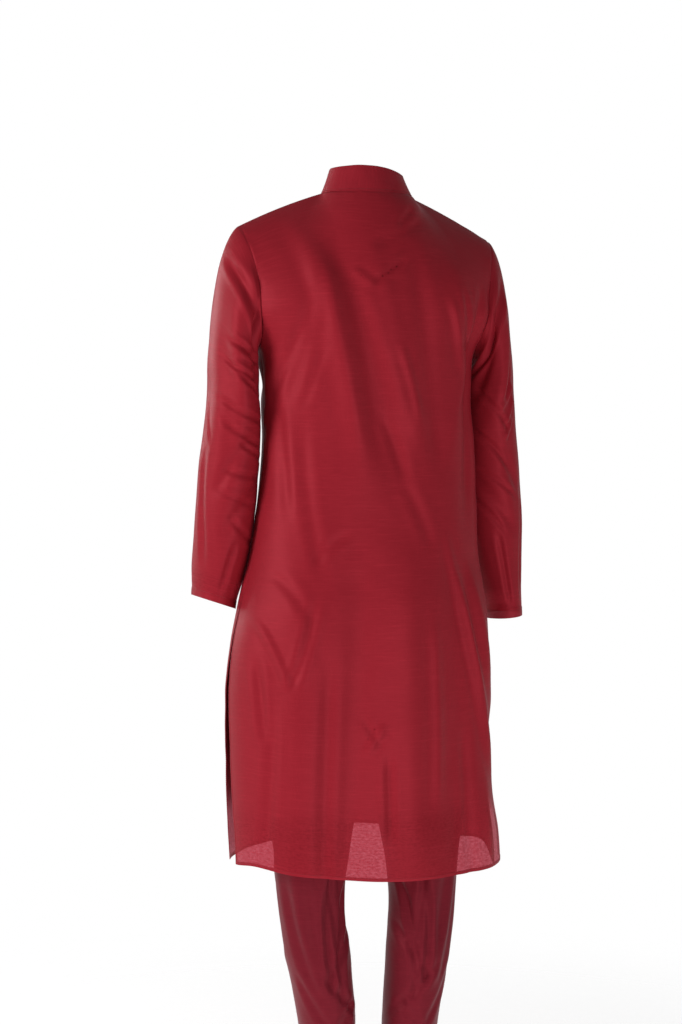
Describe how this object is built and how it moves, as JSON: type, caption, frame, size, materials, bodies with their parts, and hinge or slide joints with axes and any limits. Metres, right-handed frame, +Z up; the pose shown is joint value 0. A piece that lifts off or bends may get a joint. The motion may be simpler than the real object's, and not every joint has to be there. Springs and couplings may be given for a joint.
{
  "type": "kurta churidar set",
  "caption": "Knee-length kurta with band collar, full set-in sleeves and open side slits, worn over a churidar gathered in rings at the ankles; hollow as worn.",
  "frame": {"origin": "middle of the neck ring at the height of the nape seam, where the wearer's shoulders carry the set", "axes": "+Z up, +Y towards the back of the garment, +X towards the wearer's left"},
  "size_m": [0.5175, 0.2507, 1.501],
  "materials": {
    "kurta_cloth": "slubbed silk-like weave with a soft sheen",
    "churidar_cloth": "plain fine weave, slightly darker, with a low sheen",
    "button_plastic": "polished, dyed to match the cloth"
  },
  "bodies": {
    "root": {"kurta_back": "kurta_cloth", "kurta_front": "kurta_cloth", "sleeve_left": "kurta_cloth", "sleeve_right": "kurta_cloth", "collar": "kurta_cloth", "placket": "kurta_cloth", "button_1": "button_plastic", "button_2": "button_plastic", "button_3": "button_plastic", "button_4": "button_plastic", "churidar_leg_left": "churidar_cloth", "churidar_leg_right": "churidar_cloth", "churidar_waistband": "churidar_cloth"}
  },
  "joints": []
}
